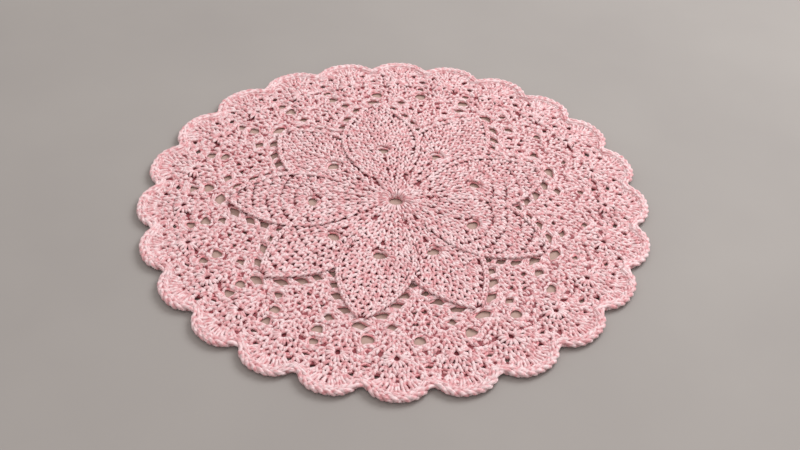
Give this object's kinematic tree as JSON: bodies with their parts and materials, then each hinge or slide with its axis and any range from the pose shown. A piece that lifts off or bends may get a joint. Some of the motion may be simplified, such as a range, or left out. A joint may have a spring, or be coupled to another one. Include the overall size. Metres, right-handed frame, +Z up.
{
  "type": "crocheted lace doily",
  "caption": "Round crocheted cotton doily with overlapping leaf petals, a belt of openwork and a scalloped, braided rim.",
  "frame": {"origin": "middle of the doily's box, on the surface that it lies on; the ring hole's centre is 1.0 mm towards -X and 1.6 mm towards +Y of it", "axes": "+Z up out of the cloth's worked side, +X to the right and +Y away from the viewer"},
  "size_m": [0.2595, 0.2562, 0.0044],
  "materials": {
    "cotton_yarn": "pale pink mercerised cotton yarn, soft sheen on the strands, deeper rose in the recesses between them"
  },
  "bodies": {
    "root": {"doily": "cotton_yarn"}
  },
  "joints": []
}
